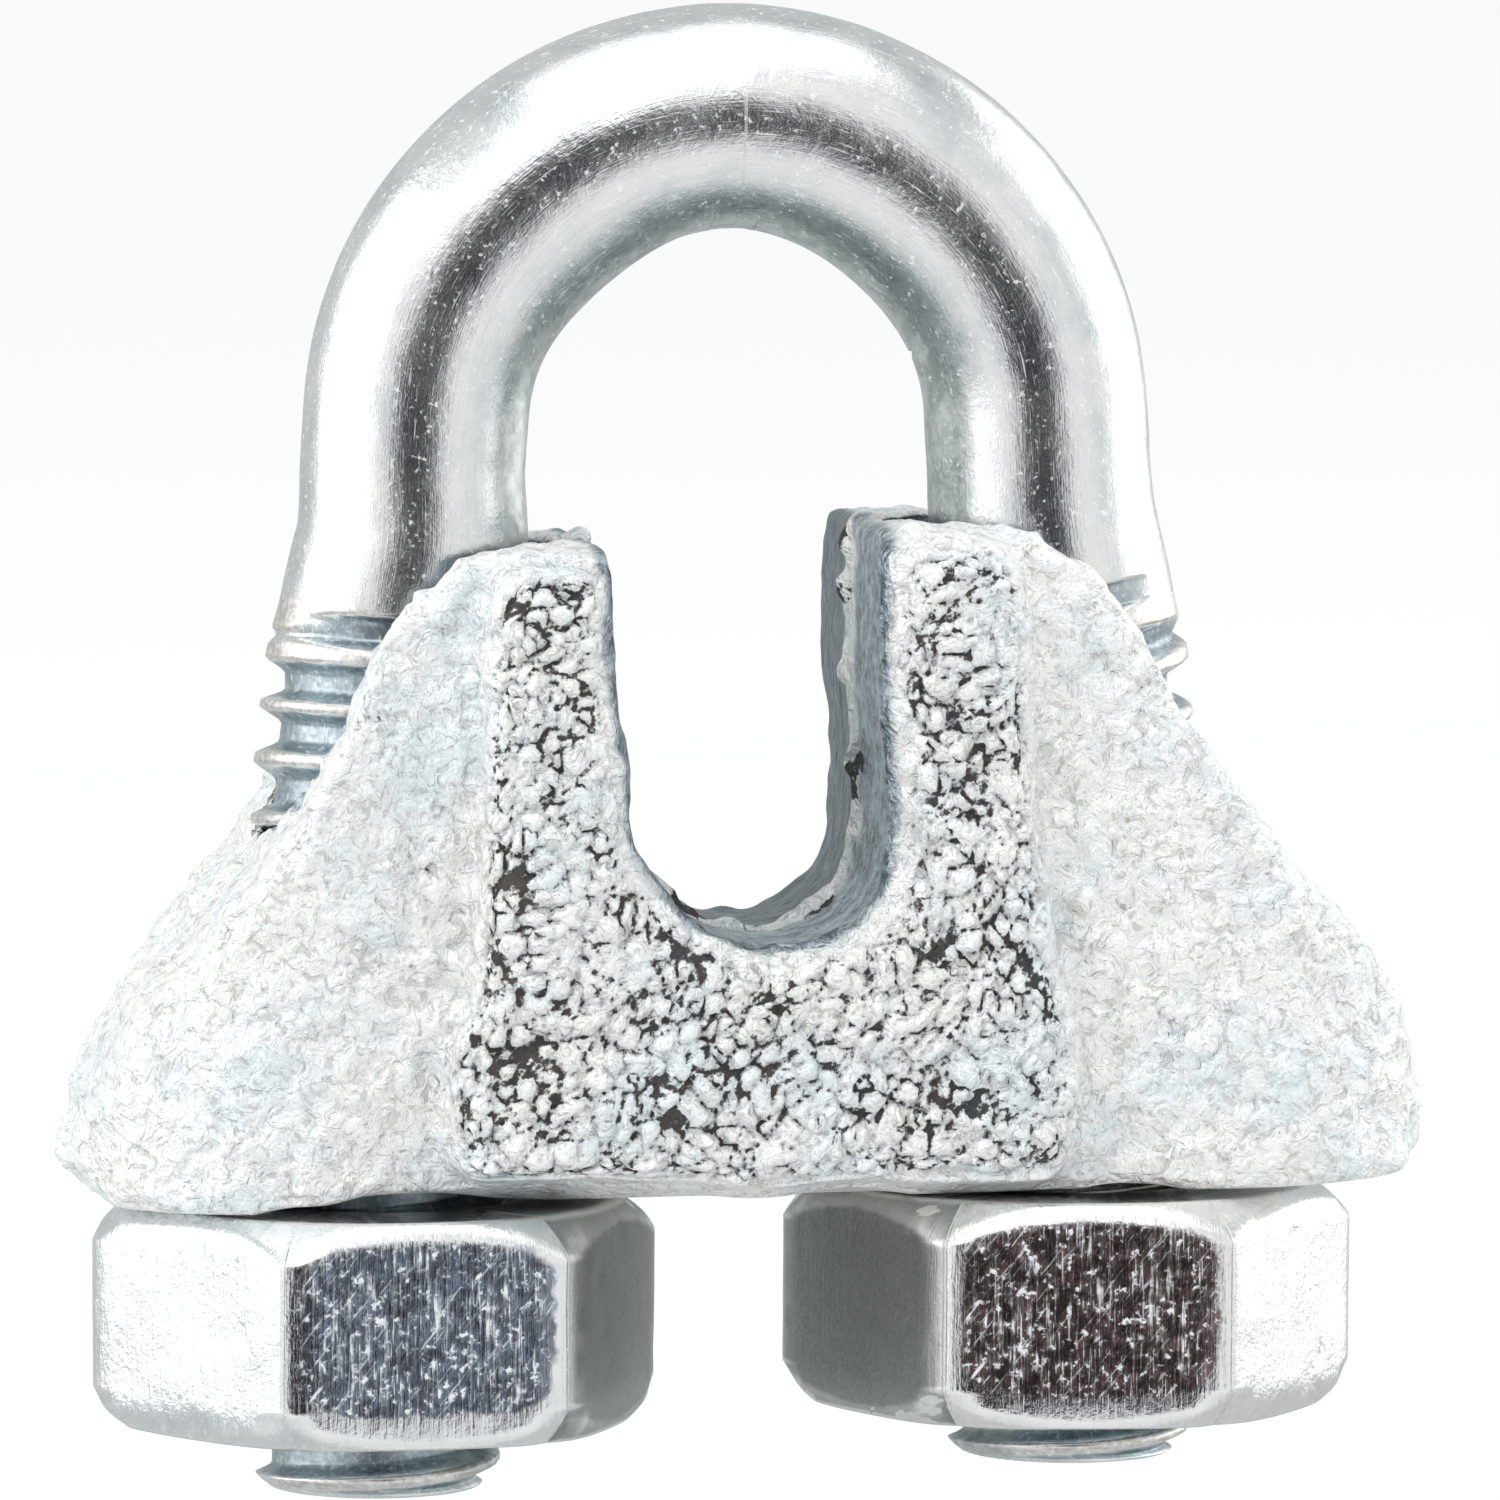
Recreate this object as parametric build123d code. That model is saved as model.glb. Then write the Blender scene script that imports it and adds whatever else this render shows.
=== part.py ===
from build123d import *
import math
import os

# Wire rope clip for 1/4 in rope: U-bolt, cast saddle and two hex nuts.
# Frame: +Z up, X from leg to leg (left is -X), Y along the rope.
# Origin: centre of the rope seat, midway between the legs.
# All dimensions in millimetres. Heights below are measured from the saddle's
# underside; every piece is lowered by seat_centre_z when it is written.

# ---- shared dimensions ----
leg_x = 8.73              # half the leg spacing
thread_crest_r = 3.15     # 1/4-20 UNC; the legs are modelled at the crest
seat_centre_z = 9.65

# ---- U-bolt dimensions ----
thread_root_r = 2.53
leg_end_left_z = -7.55
leg_end_right_z = -6.90
leg_chamfer_height = 0.6
leg_top_z = 11.0          # where the leg meets the transition

rod_r = 2.82              # rod in the bow
bow_r = 7.76              # bow centreline radius
bow_centre_z = 18.90

# Round transition from the bow's end to the leg: (x, radius, z)
transition_stations = [
    (bow_r, rod_r, bow_centre_z),
    (bow_r + 0.01, rod_r + 0.01, bow_centre_z - 0.7),
    (bow_r + 0.08, rod_r + 0.06, 17.2),
    (bow_r + 0.27, rod_r + 0.14, 16.2),
    (bow_r + 0.52, rod_r + 0.22, 15.2),
    (leg_x - 0.22, thread_crest_r - 0.06, 14.2),
    (leg_x - 0.06, thread_crest_r - 0.01, 13.0),
    (leg_x, thread_crest_r, 11.8),
    (leg_x, thread_crest_r, leg_top_z),
]

# ---- saddle dimensions ----
saddle_half_length = 16.80
saddle_top_z = 16.60
wing_blank_half_depth = 6.5     # before the plan outline trims it
valley_half_depth = 4.55        # beside the block
foot_half_depth = 5.25          # at the foot's widest point

# Heights of the rounded corners in the wing outline
wing_tip_z = 1.15
wing_foot_top_z = 5.1
wing_flank_z = 9.75
wing_shoulder_z = 15.75

# +X half of the wings seen along the rope: (x, z), upwards
wing_outline = [
    (16.05, 0.0), (saddle_half_length, wing_tip_z), (15.75, wing_foot_top_z),
    (12.15, wing_flank_z), (8.35, wing_shoulder_z), (7.25, saddle_top_z),
]
# Corner height and radius, in the order the corners are rounded
wing_corners = [
    (wing_foot_top_z, 4.0), (wing_flank_z, 5.0), (wing_tip_z, 0.9), (wing_shoulder_z, 1.0),
]
# +X +Y quarter of the wings seen from above: (x, y). Shallow valley beside the
# block, a wider foot round the leg hole and a rounded end.
wing_plan = [
    (0.0, valley_half_depth), (6.0, valley_half_depth - 0.05),
    (8.3, valley_half_depth), (10.4, foot_half_depth - 0.10),
    (12.4, foot_half_depth), (14.4, foot_half_depth - 0.75),
    (16.0, foot_half_depth - 2.35), (saddle_half_length, 0.0),
]

block_half_depth = 5.80         # rope block, along the rope
block_draft_deg = 4
block_edge_r = 0.55
# +X half of the rope block seen along the rope: (x, z), upwards
block_outline = [
    (7.5, 0.0), (8.35, 1.2), (8.35, 3.6), (7.85, 7.2), (7.45, 11.0), (7.25, 15.3),
    (6.3, saddle_top_z),
]

seat_r = 3.20                   # rope seat
slot_top_half_width = 3.36
slot_top_z = saddle_top_z + 2   # the cutter stands clear of the saddle
slot_cut_half_length = 15

leg_hole_r = 3.60
relief_x = 7.25                 # centre of the hole's rounded inner end
relief_r = 3.05
hole_cut_centre_z = 8
hole_cut_height = 30

# ---- nut dimensions ----
nut_across_flats = 12.70
nut_thickness = 5.56
nut_top_z = -0.03               # running clearance under the saddle
nut_bearing_r = 6.05            # bearing circle left by the chamfer
nut_chamfer_deg = 30.0
nut_corner_r = 0.45             # rounding of the six upright edges
nut_left_turn_deg = 6.8
nut_right_turn_deg = -4.0
bore_clearance = 0.05           # radial, nut to leg
countersink_mouth_r = thread_crest_r + 0.35
countersink_inner_r = thread_crest_r - 0.4
countersink_depth = 0.75


# ---- helpers ----
def turned(points):
    """Solid of revolution about Z from a closed (radius, z) profile."""
    profile = make_face(Polyline(*points, close=True))
    return revolve(Plane.XZ * profile, Axis.Z)


def symmetric_face(half_outline):
    """Face from the +X half of an outline and its mirror image."""
    other_half = [(-x, z) for x, z in reversed(half_outline)]
    return make_face(Polyline(*half_outline, *other_half, close=True))


# ---- U-bolt ----
def bow():
    """Half ring over the top of the legs."""
    rod = Pos(bow_r, 0, 0) * Circle(rod_r)
    return Pos(0, 0, bow_centre_z) * revolve(rod, Axis((0, 0, 0), (0, -1, 0)), 180)


def transition(side):
    """Draws out from the bow to the leg axis and swells to the crest radius."""
    return loft([Pos(side * x, 0, z) * Circle(radius) for x, radius, z in transition_stations])


def leg(side, end_z):
    """Threaded leg below the transition, with a chamfered end."""
    return Pos(side * leg_x, 0, 0) * turned([
        (0, end_z),
        (thread_root_r, end_z),
        (thread_crest_r, end_z + leg_chamfer_height),
        (thread_crest_r, leg_top_z),
        (0, leg_top_z),
    ])


def make_u_bolt():
    left = leg(-1, leg_end_left_z) + transition(-1)
    return left + bow() + transition(1) + leg(1, leg_end_right_z)


# ---- saddle ----
def wings():
    """Upright outline of the wings, trimmed to their plan outline."""
    face = symmetric_face(wing_outline)
    for corner_z, radius in wing_corners:
        # The face is still flat here, so its Y is the saddle's height.
        face = fillet([v for v in face.vertices() if abs(v.Y - corner_z) < 0.01], radius)
    upright = extrude(Plane.XZ * face, wing_blank_half_depth, both=True)

    # Once round the plan, sharing the points that lie on the axes
    plan_points = wing_plan + [(x, -y) for x, y in reversed(wing_plan[:-1])]
    plan_points += [(-x, -y) for x, y in wing_plan[1:]]
    plan_points += [(-x, y) for x, y in reversed(wing_plan[1:-1])]
    plan_edge = Edge.make_spline([Vector(x, y, 0) for x, y in plan_points], periodic=True)
    plan_face = Face(Wire([plan_edge]))
    plan = Pos(0, 0, -1) * extrude(plan_face, saddle_top_z + 3, dir=(0, 0, 1))
    return upright & plan


def rope_block():
    """Block with casting draft away from the parting plane y = 0."""
    face = Plane.XZ * symmetric_face(block_outline)
    half = extrude(face, block_half_depth, taper=block_draft_deg)
    return half + mirror(half, Plane.XZ)


def rope_slot():
    """Cutter: round seat, walls opening slightly towards the top."""
    face = symmetric_face([(seat_r, seat_centre_z), (slot_top_half_width, slot_top_z)])
    seat = Cylinder(seat_r, 2 * slot_cut_half_length)
    walls = extrude(Plane.XZ * face, slot_cut_half_length, both=True)
    return walls + Pos(0, 0, seat_centre_z) * Rot(90, 0, 0) * seat


def leg_hole(side):
    """Cutter elongated towards the middle so the saddle can ride up the joggle."""
    hole_z = hole_cut_centre_z
    link_x = (leg_x + relief_x) / 2
    big = Pos(side * leg_x, 0, hole_z) * Cylinder(leg_hole_r, hole_cut_height)
    small = Pos(side * relief_x, 0, hole_z) * Cylinder(relief_r, hole_cut_height)
    link = Box(leg_x - relief_x, 2 * relief_r, hole_cut_height)
    return big + small + Pos(side * link_x, 0, hole_z) * link


def make_saddle():
    body = wings() + rope_block()
    end_edges = body.edges().filter_by(
        lambda edge: abs(abs(edge.center().Y) - block_half_depth) < 0.02
    )
    # Guards the rounding of the block's two Y faces: if it fails, they stay sharp.
    try:
        body = fillet(end_edges, block_edge_r)
    except Exception:
        pass
    return body - rope_slot() - leg_hole(-1) - leg_hole(1)


# ---- nuts ----
def make_nut(x, turn_deg):
    """Hex nut chamfered and countersunk at both ends, bored to clear the leg."""
    circum_r = nut_across_flats / 2 / math.cos(math.radians(30))
    hexagon = RegularPolygon(circum_r, 6)
    hexagon = fillet(hexagon.vertices(), nut_corner_r)
    nut = extrude(hexagon, nut_thickness)

    envelope_r = circum_r + 0.5
    drop = (envelope_r - nut_bearing_r) * math.tan(math.radians(nut_chamfer_deg))
    nut = nut & turned([
        (0, 0), (nut_bearing_r, 0), (envelope_r, drop),
        (envelope_r, nut_thickness - drop), (nut_bearing_r, nut_thickness), (0, nut_thickness),
    ])
    for end_z, inward in [(0, 1), (nut_thickness, -1)]:
        inner_z = end_z + inward * countersink_depth
        nut = nut - turned([
            (0, end_z), (countersink_mouth_r, end_z), (countersink_inner_r, inner_z), (0, inner_z),
        ])

    nut = Pos(x, 0, nut_top_z - nut_thickness) * Rot(0, 0, turn_deg) * nut
    bore = Cylinder(thread_crest_r + bore_clearance, 2 * nut_thickness)
    return nut - Pos(x, 0, nut_top_z - nut_thickness / 2) * bore


# ---- export ----
def write(shape, name):
    solids = shape.solids()
    if len(solids) != 1:
        raise RuntimeError(f"{name}: expected one solid, got {len(solids)}")
    export_step(Pos(0, 0, -seat_centre_z) * solids[0], f"parts/{name}.step")


os.makedirs("parts", exist_ok=True)
write(make_u_bolt(), "u_bolt")
write(make_saddle(), "saddle")
write(make_nut(-leg_x, nut_left_turn_deg), "nut_left")
write(make_nut(leg_x, nut_right_turn_deg), "nut_right")
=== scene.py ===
"""Wire-rope clip: a threaded U-bolt, two hex nuts and a cast saddle, plated in zinc.

X runs across the two legs, Y along the rope and Z up the legs. The camera looks
from -Y, so -X is on its left. The origin is the centre of the saddle's rope seat.
"""
import math
from itertools import product
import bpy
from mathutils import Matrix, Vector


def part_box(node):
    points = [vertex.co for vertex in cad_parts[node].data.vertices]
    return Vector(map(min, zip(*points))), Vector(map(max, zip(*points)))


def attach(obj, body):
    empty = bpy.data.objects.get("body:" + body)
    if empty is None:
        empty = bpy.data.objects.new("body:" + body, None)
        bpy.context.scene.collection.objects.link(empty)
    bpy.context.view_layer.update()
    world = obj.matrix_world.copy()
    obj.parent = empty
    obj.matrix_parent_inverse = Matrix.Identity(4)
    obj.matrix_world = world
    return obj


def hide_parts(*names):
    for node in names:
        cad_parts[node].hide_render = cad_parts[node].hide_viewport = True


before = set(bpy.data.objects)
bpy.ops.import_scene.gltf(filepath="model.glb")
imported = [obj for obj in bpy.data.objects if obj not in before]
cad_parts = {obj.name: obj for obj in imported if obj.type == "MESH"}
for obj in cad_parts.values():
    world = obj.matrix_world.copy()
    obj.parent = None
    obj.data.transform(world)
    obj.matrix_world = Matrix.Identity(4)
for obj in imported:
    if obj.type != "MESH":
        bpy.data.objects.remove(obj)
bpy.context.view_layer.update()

from types import SimpleNamespace

import bmesh
import bpy
import numpy as np
from mathutils import Matrix, Vector

# Shapes are worked out in millimetres, with heights from the saddle's underside.
MM = 0.001
SEAT_Z = 9.65                 # the origin's height above the underside
_, bolt_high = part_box("u_bolt")
nut_low, nut_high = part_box("nut_left")
BOW_TOP = bolt_high[2] / MM + SEAT_Z
NUT_TOP = nut_high[2] / MM + SEAT_Z
NUT_BOTTOM = nut_low[2] / MM + SEAT_Z
NUT_HEIGHT = NUT_TOP - NUT_BOTTOM

LEG_X = 8.73                  # leg axis from the middle

# Thread, shared by the legs and the nuts
PITCH = 1.27
CREST, ROOT = 3.15, 2.55      # radii
CREST_Z = 12.94               # height of one crest on the outer side of each leg
HALF_LAND, FLANK = 0.085, 0.335

# U-bolt
BOW_Z, BOW_RADIUS = 18.95, 7.68
ROD_RADIUS = 2.79             # plain rod of the bow
NECK_RISE = 0.20              # extra radius just above the thread
ROD_COLS = 176
# Per side: leg end height, x where the rod starts to lean in, heights between
# which the thread runs out, outer lip (height, power), swelling inside the bow
LEGS = {
    -1: dict(end=-7.55, lean_x=8.48, runout=(14.35, 14.85), lip=(0.62, 5), swell=0.27),
    1: dict(end=-6.90, lean_x=8.60, runout=(14.90, 15.50), lip=(0.34, 3), swell=0.15),
}
# Right half of the rod's centreline below the bow: x, z
LEG_PATH = np.array([
    (8.73, -8.0), (8.73, 6.0), (8.72, 9.0), (8.68, 11.0), (8.60, 12.4), (8.44, 13.6),
    (8.24, 14.8), (8.05, 15.9), (7.92, 17.0), (7.86, 18.1), (7.80, 19.0),
])
# Rings that close a leg end: radius, height above the end
END_RINGS = ((0.8, 0.0), (1.6, 0.0), (2.25, 0.0), (2.52, 0.012), (2.64, 0.05), (2.70, 0.11))

# Nuts
HALF_FLATS = 12.70 / 2
CORNER_RADIUS = 7.36          # the upright edges are rounded to this radius
HALF_FLAT_WIDTH = 3.67
BEARING_RADIUS = 6.02         # where the end chamfers start
NUT_COLS = 300
LEFT_LIFT, RIGHT_LIFT = -0.25, 0.05
NUT_TRAVEL = 6.67
FLAT_STEP = 37.0              # offset between wrench flats in the "surf" coordinates

# Saddle
SADDLE_TILT = 1.0             # degrees, right side up
SADDLE_PLAY = 0.28            # sideways
# Rope block: height, half width
BLOCK_Z = [0, 1.2, 3.6, 7.2, 11, 15.3, 16.6]
BLOCK_HALF_WIDTH = [7.5, 8.3, 8.3, 7.8, 7.4, 7.1, 6.4]


# ------------------------------------------------------------------ fields
def smooth_min(a, b, blend):
    """Minimum of a and b, rounded over the length blend."""
    h = np.clip(0.5 + 0.5 * (b - a) / blend, 0, 1)
    return b * (1 - h) + a * h - blend * h * (1 - h)


def smooth_max(a, b, blend):
    return -smooth_min(-a, -b, blend)


def step(start, end, x):
    """Smooth step from 0 at start to 1 at end; start may be the larger."""
    t = np.clip((x - start) / (end - start), 0, 1)
    return t * t * (3 - 2 * t)


def bell(x, width):
    return np.exp(-(x / width) ** 2)


def cell_hash(i, j, k, seed):
    """Repeatable value in 0..1 for each whole-numbered cell."""
    n = (i * 374761393 + j * 668265263 + k * 2147483647 + seed * 1274126177) & 0xFFFFFFFF
    n = ((n ^ (n >> 13)) * 1274126177) & 0xFFFFFFFF
    n = ((n ^ (n >> 16)) * 2246822519) & 0xFFFFFFFF
    n = n ^ (n >> 15)
    return n.astype(np.float64) / 4294967295.0


def value_noise(points, size, seed):
    """Smooth noise in -1..1 with features of the given size."""
    scaled = points / size
    cell = np.floor(scaled).astype(np.int64)
    f = scaled - cell
    f = f * f * f * (f * (f * 6 - 15) + 10)
    total = np.zeros(len(points))
    for corner in product((0, 1), repeat=3):
        wx, wy, wz = (f[:, a] if corner[a] else 1 - f[:, a] for a in range(3))
        total += wx * wy * wz * cell_hash(*(cell + corner).T, seed)
    return total * 2 - 1


def cell_noise(points, size, seed):
    """Distances to the nearest two random points, in cells, and the nearest one's value."""
    scaled = points / size
    cell = np.floor(scaled).astype(np.int64)
    first = np.full(len(points), 9.0)
    second = np.full(len(points), 9.0)
    value = np.zeros(len(points))
    for offset in product((-1, 0, 1), repeat=3):
        i, j, k = (cell + offset).T
        dx = scaled[:, 0] - (i + cell_hash(i, j, k, seed))
        dy = scaled[:, 1] - (j + cell_hash(i, j, k, seed + 11))
        dz = scaled[:, 2] - (k + cell_hash(i, j, k, seed + 23))
        distance = np.sqrt(dx ** 2 + dy ** 2 + dz ** 2)
        near = distance < first
        second = np.where(near, first, np.minimum(second, distance))
        value = np.where(near, cell_hash(i, j, k, seed + 41), value)
        first = np.where(near, distance, first)
    return first, second, value


def dents(points, size, seed, depth, width, skip):
    """Round hollows in cells of the given size; skip is the share of cells without one."""
    distance, _, value = cell_noise(points, size, seed)
    return -depth * bell(distance, width) * (value > skip)


# ------------------------------------------------------------------ meshes
def read_vectors(items, key):
    flat = np.empty(len(items) * 3)
    items.foreach_get(key, flat)
    return flat.reshape(-1, 3)


def read_surface(mesh):
    """Vertex places in mm and vertex normals."""
    return read_vectors(mesh.vertices, "co") / MM, read_vectors(mesh.vertex_normals, "vector")


def write_points(mesh, points):
    mesh.vertices.foreach_set("co", (points * MM).reshape(-1))
    mesh.update()


def add_float(mesh, name, values):
    attribute = mesh.attributes.new(name, "FLOAT", "POINT")
    attribute.data.foreach_set("value", values.astype(np.float32))


def grid_mesh(name, grid, wrap_rows, surf, mark_name, mark):
    """Closed quad grid of rows x columns x 3. Columns wrap; rows wrap or end in caps.

    surf and mark are values per grid point, kept as vertex attributes.
    """
    rows, cols = grid.shape[:2]
    count = rows * cols
    row, col = np.meshgrid(np.arange(rows if wrap_rows else rows - 1), np.arange(cols),
                           indexing="ij")
    next_row = (row + 1) % rows
    next_col = (col + 1) % cols
    corners = [row * cols + col, row * cols + next_col,
               next_row * cols + next_col, next_row * cols + col]
    faces = np.stack(corners, -1).reshape(-1, 4).tolist()
    points = grid.reshape(-1, 3)
    if not wrap_rows:
        points = np.concatenate([points, [np.mean(grid[0], axis=0), np.mean(grid[-1], axis=0)]])
        last = count - cols
        faces += [[count, (j + 1) % cols, j] for j in range(cols)]
        faces += [[count + 1, last + j, last + (j + 1) % cols] for j in range(cols)]
    mesh = bpy.data.meshes.new(name)
    mesh.from_pydata((points * MM).tolist(), [], faces)

    marks = np.full(len(points), mark.reshape(-1)[0])
    marks[:count] = mark.reshape(-1)
    add_float(mesh, mark_name, marks)
    vectors = np.zeros((len(points), 3), np.float32)
    vectors[:count] = surf.reshape(-1, 3)
    attribute = mesh.attributes.new("surf", "FLOAT_VECTOR", "POINT")
    attribute.data.foreach_set("vector", vectors.reshape(-1))
    mesh.update()
    mesh.validate()

    obj = bpy.data.objects.new(name, mesh)
    bpy.context.scene.collection.objects.link(obj)
    mesh.polygons.foreach_set("use_smooth", [True] * len(mesh.polygons))
    bm = bmesh.new()
    bm.from_mesh(mesh)
    bmesh.ops.recalc_face_normals(bm, faces=bm.faces)
    bm.to_mesh(mesh)
    bm.free()
    mesh.update()
    return obj


# ------------------------------------------------------------------ thread
def thread_depth(offset):
    """0 on the crest and 1 in the root, for an axial offset from a crest."""
    t = np.clip((np.abs(offset) - HALF_LAND) / (HALF_LAND + FLANK - HALF_LAND), 0, 1)
    return t ** 1.05 * (1 - 0.25 * t) / 0.75 * 0.55 + 0.45 * (t * t * (3 - 2 * t))


def crest_offset(z, theta, side):
    """Axial offset from the nearest crest of the right-hand helix."""
    start = math.pi if side < 0 else 0.0
    turns = (z - CREST_Z) / PITCH - (theta - start) / (2 * math.pi)
    return (turns - np.round(turns)) * PITCH


# ------------------------------------------------------------------ U-bolt
def rod_centreline():
    """Right half of the centreline from the leg end to the top: (x, z), arc length."""
    points = []
    last = len(LEG_PATH) - 1
    for i in range(last):        # Catmull-Rom spline through the leg's points
        p0, p1, p2, p3 = (LEG_PATH[min(max(i + k, 0), last)] for k in (-1, 0, 1, 2))
        count = max(4, int(abs(p2[1] - p1[1]) / 0.05))
        for k in range(count):
            t = k / count
            points.append(0.5 * (
                (2 * p1) + (-p0 + p2) * t + (2 * p0 - 5 * p1 + 4 * p2 - p3) * t * t
                + (-p0 + 3 * p1 - 3 * p2 + p3) * t ** 3))
    for angle in np.linspace(0, math.pi / 2, 240):
        radius = BOW_RADIUS + 0.12 * math.cos(angle) ** 2     # the bow is a little wide
        points.append(np.array([radius * math.cos(angle),
                                BOW_Z + (BOW_RADIUS - 0.02) * math.sin(angle)]))
    path = np.array(points)
    kernel = np.ones(15) / 15
    for _ in range(3):           # ease the joint between the spline and the bow
        eased = np.stack([np.convolve(path[:, i], kernel, "same") for i in (0, 1)], -1)
        path[20:-20] = eased[20:-20]
    path[-1, 0] = 0
    return path, np.r_[0, np.cumsum(np.hypot(*np.diff(path, axis=0).T))]


def leg_rows(side, path, length):
    """Rings from one leg's end to the top of the bow: points, groove marks, surf."""
    leg = LEGS[side]
    start = length[np.argmin(np.abs(path[:, 1] - leg["end"]))]
    thread_top = length[np.argmin(np.abs(path[:, 1] - 15.6) + (path[:, 0] < 7) * 99)]
    # close rings along the thread, then 190 stations over the bow
    along = np.concatenate([np.arange(start + 0.18, thread_top, 0.072),
                            np.linspace(thread_top, length[-1], 190)[1:]])
    x = np.interp(along, length, path[:, 0])
    z = np.interp(along, length, path[:, 1])
    if side < 0:                 # the left leg stands in a little above the nut
        x = x - 0.16 * step(9.5, 12.5, z) * (1 - step(15.8, 18.0, z)) * (x > 7)
    tangent_x = np.gradient(x)
    tangent_z = np.gradient(z)
    size = np.hypot(tangent_x, tangent_z)
    tangent_x /= size
    tangent_z /= size
    tangent_x[-1], tangent_z[-1] = -1.0, 0.0
    arc = np.r_[0, np.cumsum(np.hypot(np.diff(x), np.diff(z)))]

    phi = np.arange(ROD_COLS) / ROD_COLS * 2 * math.pi
    theta = phi if side > 0 else (math.pi - phi)
    cos, sin = np.cos(phi), np.sin(phi)
    outer = np.clip(cos, 0, 1)
    inner = np.clip(-cos, 0, 1)
    lip, lip_power = leg["lip"]
    shape = (len(x), ROD_COLS)
    points = np.zeros(shape + (3,))
    surf = np.zeros(shape + (3,))
    groove = np.zeros(shape)
    crest = np.zeros(shape)
    for i in range(len(x)):
        on_bow = x[i] < 7.2
        height = 99.0 if on_bow else z[i]      # 99 is clear of the threaded part
        blank = (ROD_RADIUS + (NECK_RISE * (1 - step(14.2, 18.0, height))
                 + (CREST - (ROD_RADIUS + NECK_RISE)) * (1 - step(12.6, 14.4, height))))
        # the rod leans in above the thread, so the last groove bites deep on the
        # inner side and runs out on the outer side
        lean = 0.0 if on_bow else max(leg["lean_x"] - x[i], 0.0)
        depth = thread_depth(crest_offset(z[i], theta, side))
        r = CREST + (ROOT - CREST) * depth + lean * cos
        r = (r + 1.5 * step(*leg["runout"], height)
             + lip * outer ** lip_power * step(13.0, 13.8, height))
        r = smooth_min(r, blank, blend=0.05)
        depth = np.clip((blank - r) / (CREST - ROOT), 0, 1)
        above_end = height - leg["end"]
        if above_end < 1.1:      # taper at the leg end
            r = np.minimum(r, 2.74 + 0.42 * max(above_end - 0.12, 0) / 0.42)
        # the inside of the bend is upset on both shoulders
        bend = math.degrees(math.atan2(z[i] - BOW_Z, max(x[i], 1e-6)))
        r = r + leg["swell"] * math.exp(-((bend - 48) / 26) ** 2) * inner ** 1.5
        points[i, :, 0] = side * (x[i] + r * cos * tangent_z[i])
        points[i, :, 1] = r * sin
        points[i, :, 2] = z[i] + r * cos * -tangent_x[i]
        groove[i] = depth if height < 15.2 else 0.0
        crest[i] = 1.0 - step(0.05, 0.16, depth) if height < 14.3 else 0.0
        surf[i] = np.stack([cos, sin, np.full(ROD_COLS, arc[i] * 0.1 * side)], -1)

    ends = [np.stack([side * (LEG_X + r * cos), r * sin, np.full(ROD_COLS, leg["end"] + rise)], -1)
            for r, rise in END_RINGS]
    end_surf = [np.stack([cos, sin, np.full(ROD_COLS, -0.3)], -1)] * len(ends)
    # crests are marked below 0, grooves above 0
    marks = groove - 0.999 * crest * (groove < 0.2)
    return (np.concatenate([ends, points]),
            np.concatenate([np.zeros((len(ends), ROD_COLS)), marks]),
            np.concatenate([end_surf, surf]))


def build_u_bolt():
    path, length = rod_centreline()
    # up the left half and down the right half; both share the top ring
    points, groove, surf = (
        np.concatenate([left, right[::-1][1:]])
        for left, right in zip(leg_rows(-1, path, length), leg_rows(1, path, length)))
    obj = grid_mesh("u_bolt_body", points, False, surf, "groove", groove)
    # shallow dents and waves, weaker along the thread
    co, normals = read_surface(obj.data)
    relief = (dents(co, size=1.7, seed=3, depth=0.018, width=0.33, skip=0.45)
              + dents(co + 40, size=0.62, seed=5, depth=0.007, width=0.36, skip=0.4)
              + (0.010 * value_noise(co, size=2.6, seed=9)
                 + 0.004 * value_noise(co, size=0.7, seed=10)))
    strength = 0.35 + 0.65 * step(13.5, 15.5, co[:, 2])
    co = co + normals * (relief * strength)[:, None]
    co[:, 2] = np.minimum(co[:, 2], BOW_TOP) - SEAT_Z
    write_points(obj.data, co)
    return obj


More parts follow.
